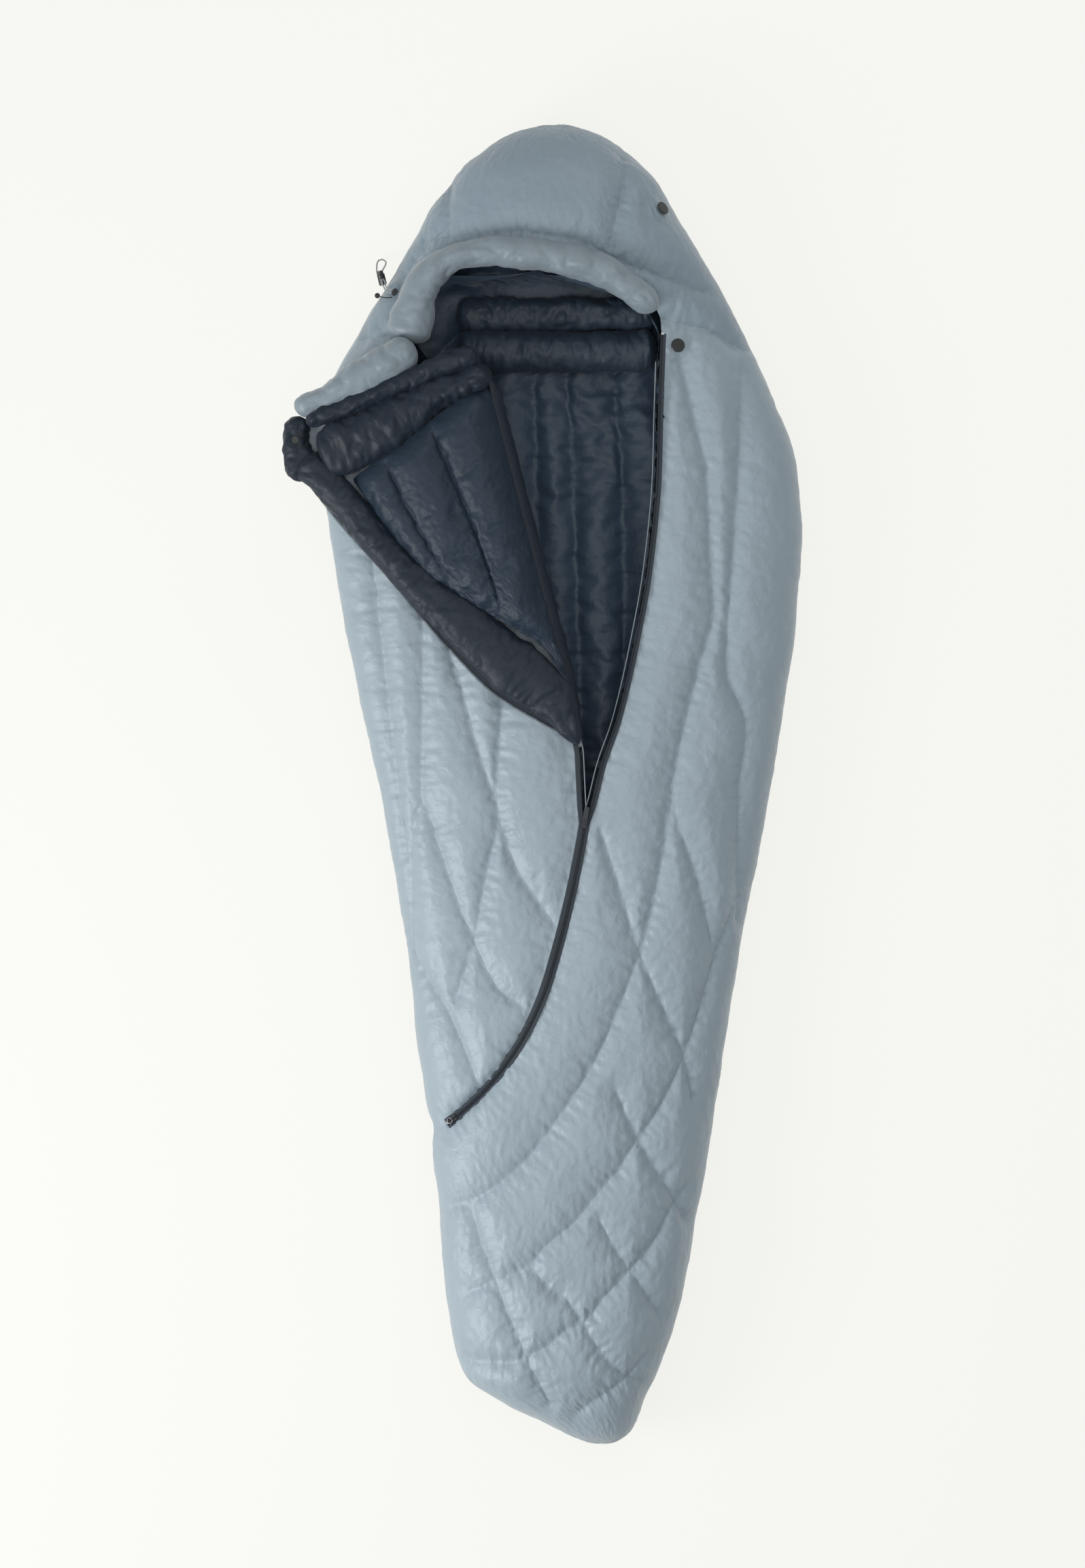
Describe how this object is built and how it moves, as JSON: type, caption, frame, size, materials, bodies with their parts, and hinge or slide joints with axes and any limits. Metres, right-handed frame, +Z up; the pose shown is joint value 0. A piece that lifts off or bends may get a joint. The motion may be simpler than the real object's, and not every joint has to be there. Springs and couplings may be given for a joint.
{
  "type": "mummy sleeping bag",
  "caption": "Hooded mummy sleeping bag, quilted and down filled, lying on its back with the front zip half open and the left front folded back",
  "frame": {"origin": "on the floor under the middle of the bag's bounding box", "axes": "+Z up, +Y toward the hood, +X to the side away from the folded flap"},
  "size_m": [0.819, 2.1, 0.2302],
  "materials": {
    "shell_nylon": "satin",
    "hood_nylon": "satin",
    "lining_nylon": "satin",
    "down": "soft",
    "zip_tape": "woven",
    "zip_coil": "moulded",
    "reflective_piping": "reflective",
    "black_plastic": "moulded",
    "black_metal": "painted",
    "steel": "plain",
    "elastic_cord": "braided",
    "black_cord": "braided"
  },
  "bodies": {
    "bag": {"back_fill": "down", "back_lining": "lining_nylon", "back_shell": "shell_nylon", "collar_lower": "lining_nylon", "collar_upper": "lining_nylon", "cord_eyelet": "black_metal", "drawcord_loop": "elastic_cord", "face_rim": "shell_nylon", "foot_box_fill": "down", "foot_box_lining": "lining_nylon", "foot_box_shell": "shell_nylon", "front_left_fill": "down", "front_left_lining": "lining_nylon", "front_left_shell": "shell_nylon", "front_main_fill": "down", "front_main_lining": "lining_nylon", "front_main_shell": "shell_nylon", "hood_back_shell": "hood_nylon", "hood_centre_shell": "hood_nylon", "hood_fill": "down", "hood_left_shell": "hood_nylon", "hood_lining": "lining_nylon", "hood_right_shell": "hood_nylon", "inner_tab": "reflective_piping", "neck_fill": "down", "neck_lining": "lining_nylon", "piping_left": "reflective_piping", "piping_right": "reflective_piping", "rim_drawcord": "black_cord", "side_cap": "black_plastic", "snap_cap": "black_plastic", "snap_post": "black_plastic", "tail_bead": "black_plastic", "tail_cord": "black_cord", "zip_bottom_stop": "steel", "zip_draft_tube": "lining_nylon", "zip_left_coil": "zip_coil", "zip_left_tape": "zip_tape", "zip_right_coil": "zip_coil", "zip_right_tape": "zip_tape", "zip_top_stop": "steel"},
    "flap": {"flap_collar_lower": "lining_nylon", "flap_collar_upper": "lining_nylon", "flap_draft_tube": "lining_nylon", "flap_fill": "down", "flap_lining": "lining_nylon", "flap_rim": "shell_nylon", "flap_shell": "shell_nylon", "flap_snap_socket": "black_plastic", "flap_tip_pad": "lining_nylon", "flap_zip_coil": "zip_coil", "flap_zip_tape": "zip_tape"},
    "zip_slider": {"zip_slider_body": "black_metal"},
    "zip_pull": {"zip_slider_pull": "black_plastic"},
    "foot_slider": {"foot_slider_body": "black_metal"},
    "foot_ring": {"foot_slider_ring": "black_metal"},
    "cord_lock": {"cord_lock_barrel": "black_plastic", "cord_lock_spring": "steel"},
    "lock_plunger": {"cord_lock_plunger": "black_plastic"}
  },
  "joints": [
    {"name": "flap_fold", "type": "hinge", "parent": "bag", "child": "flap", "pos_m": [0.063, 0.062, 0.1795], "axis": [-0.2524, 0.9676, 0], "range_deg": [0, 130]},
    {"name": "zip_slider_travel", "type": "hinge", "parent": "bag", "child": "zip_slider", "pos_m": [-1.8096, 0.24052, 0.174], "axis": [0, 0, -1], "range_deg": [0, 6.8]},
    {"name": "zip_pull_turn", "type": "hinge", "parent": "zip_slider", "child": "zip_pull", "pos_m": [0.066, -0.063, 0.179], "axis": [0.9872, -0.1597, 0], "range_deg": [0, 150]},
    {"name": "foot_slider_travel", "type": "hinge", "parent": "bag", "child": "foot_slider", "pos_m": [-0.36843, -0.18972, -0.00519], "axis": [-0.3951, 0.1179, 0.9111], "range_deg": [0, 27]},
    {"name": "foot_ring_turn", "type": "hinge", "parent": "foot_slider", "child": "foot_ring", "pos_m": [-0.14404, -0.53171, 0.14187], "axis": [-0.5208, 0.7882, -0.3279], "range_deg": [0, 150]},
    {"name": "cord_lock_slide", "type": "slide", "parent": "bag", "child": "cord_lock", "axis": [-0.1198, 0.2196, -0.9682], "range_m": [-0.004, 0.03]},
    {"name": "cord_lock_press", "type": "slide", "parent": "cord_lock", "child": "lock_plunger", "axis": [0.2273, -0.9433, -0.2421], "range_m": [0, 0.003], "stiffness_N_per_m": 300, "springref_m": -0.004}
  ]
}
